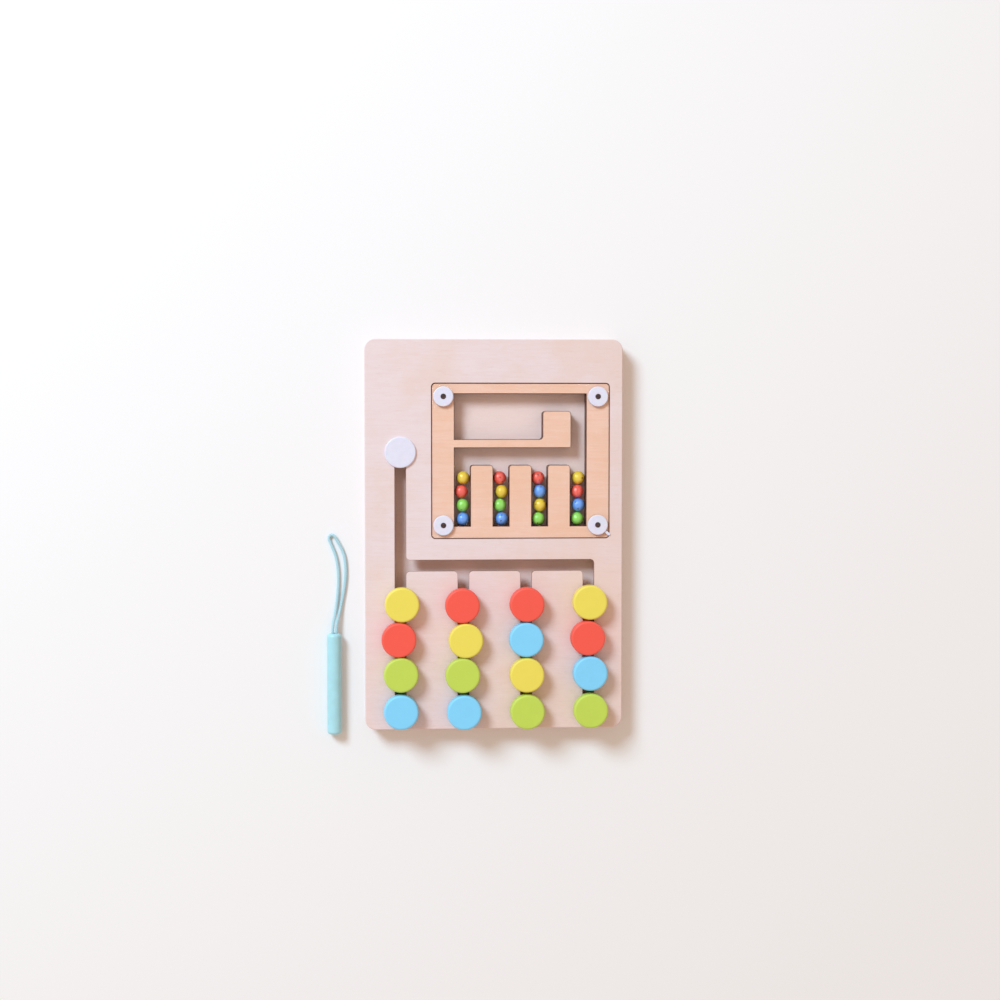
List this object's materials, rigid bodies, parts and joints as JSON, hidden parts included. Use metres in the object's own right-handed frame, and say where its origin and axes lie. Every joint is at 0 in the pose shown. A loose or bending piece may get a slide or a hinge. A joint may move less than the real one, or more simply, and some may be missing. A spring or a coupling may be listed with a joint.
{
  "type": "magnetic maze board",
  "caption": "Wooden board toy with coloured discs that slide in slots, a covered bead maze, and a magnetic pen on a cord loop.",
  "frame": {"origin": "middle of the board's underside, on the surface it lies on", "axes": "+X to the right across the board, +Y up the board towards the bead maze, +Z out of its face"},
  "size_m": [0.2239, 0.2999, 0.0303],
  "materials": {
    "plywood": "pale plywood, fine sanded, bare",
    "maze_wood": "laser-cut plywood with browned edges",
    "stem_wood": "turned birch, bare",
    "clear_acrylic": "clear acrylic sheet",
    "white_plastic": "white moulded plastic",
    "screw_steel": "dark plated steel",
    "pen_plastic": "mint green moulded plastic",
    "magnet": "nickel-plated magnet",
    "cord": "pale blue braided cord",
    "yellow_paint": "yellow matt paint on wood",
    "red_paint": "red matt paint on wood",
    "green_paint": "green matt paint on wood",
    "blue_paint": "blue matt paint on wood",
    "yellow_bead": "yellow gloss paint on steel",
    "red_bead": "red gloss paint on steel",
    "green_bead": "green gloss paint on steel",
    "blue_bead": "blue gloss paint on steel"
  },
  "bodies": {
    "board": {"back_panel": "plywood", "guide_layer": "plywood", "face_panel": "plywood", "maze_insert": "maze_wood", "clear_cover": "clear_acrylic", "cover_caps": "white_plastic", "cover_screws": "screw_steel", "entry_plug": "white_plastic"},
    "blue_slider_1": {"blue_disc_1": "blue_paint", "blue_glide_1": "stem_wood"},
    "green_slider_1": {"green_disc_1": "green_paint", "green_glide_1": "stem_wood"},
    "red_slider_1": {"red_disc_1": "red_paint", "red_glide_1": "stem_wood"},
    "yellow_slider_1": {"yellow_disc_1": "yellow_paint", "yellow_glide_1": "stem_wood"},
    "blue_slider_2": {"blue_disc_2": "blue_paint", "blue_glide_2": "stem_wood"},
    "green_slider_2": {"green_disc_2": "green_paint", "green_glide_2": "stem_wood"},
    "yellow_slider_2": {"yellow_disc_2": "yellow_paint", "yellow_glide_2": "stem_wood"},
    "red_slider_2": {"red_disc_2": "red_paint", "red_glide_2": "stem_wood"},
    "green_slider_3": {"green_disc_3": "green_paint", "green_glide_3": "stem_wood"},
    "yellow_slider_3": {"yellow_disc_3": "yellow_paint", "yellow_glide_3": "stem_wood"},
    "blue_slider_3": {"blue_disc_3": "blue_paint", "blue_glide_3": "stem_wood"},
    "red_slider_3": {"red_disc_3": "red_paint", "red_glide_3": "stem_wood"},
    "green_slider_4": {"green_disc_4": "green_paint", "green_glide_4": "stem_wood"},
    "blue_slider_4": {"blue_disc_4": "blue_paint", "blue_glide_4": "stem_wood"},
    "red_slider_4": {"red_disc_4": "red_paint", "red_glide_4": "stem_wood"},
    "yellow_slider_4": {"yellow_disc_4": "yellow_paint", "yellow_glide_4": "stem_wood"},
    "blue_ball_1": {"blue_bead_1": "blue_bead"},
    "green_ball_1": {"green_bead_1": "green_bead"},
    "red_ball_1": {"red_bead_1": "red_bead"},
    "yellow_ball_1": {"yellow_bead_1": "yellow_bead"},
    "blue_ball_2": {"blue_bead_2": "blue_bead"},
    "green_ball_2": {"green_bead_2": "green_bead"},
    "yellow_ball_2": {"yellow_bead_2": "yellow_bead"},
    "red_ball_2": {"red_bead_2": "red_bead"},
    "green_ball_3": {"green_bead_3": "green_bead"},
    "yellow_ball_3": {"yellow_bead_3": "yellow_bead"},
    "blue_ball_3": {"blue_bead_3": "blue_bead"},
    "red_ball_3": {"red_bead_3": "red_bead"},
    "green_ball_4": {"green_bead_4": "green_bead"},
    "blue_ball_4": {"blue_bead_4": "blue_bead"},
    "red_ball_4": {"red_bead_4": "red_bead"},
    "yellow_ball_4": {"yellow_bead_4": "yellow_bead"},
    "pen": {"pen_barrel": "pen_plastic", "pen_end_cap": "pen_plastic", "pen_magnet": "magnet", "pen_cord": "cord"}
  },
  "joints": [
    {"name": "blue_slider_1_slide", "type": "slide", "parent": "board", "child": "blue_slider_1", "axis": [0, 1, 0], "range_m": [0, 0.0324]},
    {"name": "green_slider_1_slide", "type": "slide", "parent": "blue_slider_1", "child": "green_slider_1", "axis": [0, 1, 0], "range_m": [0, 0.0324]},
    {"name": "red_slider_1_slide", "type": "slide", "parent": "green_slider_1", "child": "red_slider_1", "axis": [0, 1, 0], "range_m": [0, 0.0324]},
    {"name": "yellow_slider_1_slide", "type": "slide", "parent": "red_slider_1", "child": "yellow_slider_1", "axis": [0, -1, 0], "range_m": [-0.0972, 0]},
    {"name": "blue_slider_2_slide", "type": "slide", "parent": "board", "child": "blue_slider_2", "axis": [0, 1, 0], "range_m": [0, 0.0103]},
    {"name": "green_slider_2_slide", "type": "slide", "parent": "blue_slider_2", "child": "green_slider_2", "axis": [0, 1, 0], "range_m": [0, 0.0103]},
    {"name": "yellow_slider_2_slide", "type": "slide", "parent": "green_slider_2", "child": "yellow_slider_2", "axis": [0, 1, 0], "range_m": [0, 0.0103]},
    {"name": "red_slider_2_slide", "type": "slide", "parent": "yellow_slider_2", "child": "red_slider_2", "axis": [0, -1, 0], "range_m": [-0.0309, 0]},
    {"name": "green_slider_3_slide", "type": "slide", "parent": "board", "child": "green_slider_3", "axis": [0, 1, 0], "range_m": [0, 0.0101]},
    {"name": "yellow_slider_3_slide", "type": "slide", "parent": "green_slider_3", "child": "yellow_slider_3", "axis": [0, 1, 0], "range_m": [0, 0.0101]},
    {"name": "blue_slider_3_slide", "type": "slide", "parent": "yellow_slider_3", "child": "blue_slider_3", "axis": [0, 1, 0], "range_m": [0, 0.0101]},
    {"name": "red_slider_3_slide", "type": "slide", "parent": "blue_slider_3", "child": "red_slider_3", "axis": [0, -1, 0], "range_m": [-0.0303, 0]},
    {"name": "green_slider_4_slide", "type": "slide", "parent": "board", "child": "green_slider_4", "axis": [0, 1, 0], "range_m": [0, 0.0097]},
    {"name": "blue_slider_4_slide", "type": "slide", "parent": "green_slider_4", "child": "blue_slider_4", "axis": [0, 1, 0], "range_m": [0, 0.0097]},
    {"name": "red_slider_4_slide", "type": "slide", "parent": "blue_slider_4", "child": "red_slider_4", "axis": [0, 1, 0], "range_m": [0, 0.0097]},
    {"name": "yellow_slider_4_slide", "type": "slide", "parent": "red_slider_4", "child": "yellow_slider_4", "axis": [0, -1, 0], "range_m": [-0.0291, 0]},
    {"name": "blue_ball_1_slide", "type": "slide", "parent": "board", "child": "blue_ball_1", "axis": [0, 1, 0], "range_m": [0, 0.0058]},
    {"name": "green_ball_1_slide", "type": "slide", "parent": "blue_ball_1", "child": "green_ball_1", "axis": [0, 1, 0], "range_m": [0, 0.0058]},
    {"name": "red_ball_1_slide", "type": "slide", "parent": "green_ball_1", "child": "red_ball_1", "axis": [0, 1, 0], "range_m": [0, 0.0058]},
    {"name": "yellow_ball_1_slide", "type": "slide", "parent": "red_ball_1", "child": "yellow_ball_1", "axis": [0, -1, 0], "range_m": [-0.0174, 0]},
    {"name": "blue_ball_2_slide", "type": "slide", "parent": "board", "child": "blue_ball_2", "axis": [0, 1, 0], "range_m": [0, 0.0058]},
    {"name": "green_ball_2_slide", "type": "slide", "parent": "blue_ball_2", "child": "green_ball_2", "axis": [0, 1, 0], "range_m": [0, 0.0058]},
    {"name": "yellow_ball_2_slide", "type": "slide", "parent": "green_ball_2", "child": "yellow_ball_2", "axis": [0, 1, 0], "range_m": [0, 0.0058]},
    {"name": "red_ball_2_slide", "type": "slide", "parent": "yellow_ball_2", "child": "red_ball_2", "axis": [0, -1, 0], "range_m": [-0.0174, 0]},
    {"name": "green_ball_3_slide", "type": "slide", "parent": "board", "child": "green_ball_3", "axis": [0, 1, 0], "range_m": [0, 0.0058]},
    {"name": "yellow_ball_3_slide", "type": "slide", "parent": "green_ball_3", "child": "yellow_ball_3", "axis": [0, 1, 0], "range_m": [0, 0.0058]},
    {"name": "blue_ball_3_slide", "type": "slide", "parent": "yellow_ball_3", "child": "blue_ball_3", "axis": [0, 1, 0], "range_m": [0, 0.0058]},
    {"name": "red_ball_3_slide", "type": "slide", "parent": "blue_ball_3", "child": "red_ball_3", "axis": [0, -1, 0], "range_m": [-0.0174, 0]},
    {"name": "green_ball_4_slide", "type": "slide", "parent": "board", "child": "green_ball_4", "axis": [0, 1, 0], "range_m": [0, 0.0193]},
    {"name": "blue_ball_4_slide", "type": "slide", "parent": "green_ball_4", "child": "blue_ball_4", "axis": [0, 1, 0], "range_m": [0, 0.0193]},
    {"name": "red_ball_4_slide", "type": "slide", "parent": "blue_ball_4", "child": "red_ball_4", "axis": [0, 1, 0], "range_m": [0, 0.0193]},
    {"name": "yellow_ball_4_slide", "type": "slide", "parent": "red_ball_4", "child": "yellow_ball_4", "axis": [0, -1, 0], "range_m": [-0.0579, 0]},
    {"name": "pen_lift", "type": "slide", "parent": "board", "child": "pen", "axis": [0, 0, 1], "range_m": [0, 0.12]}
  ]
}
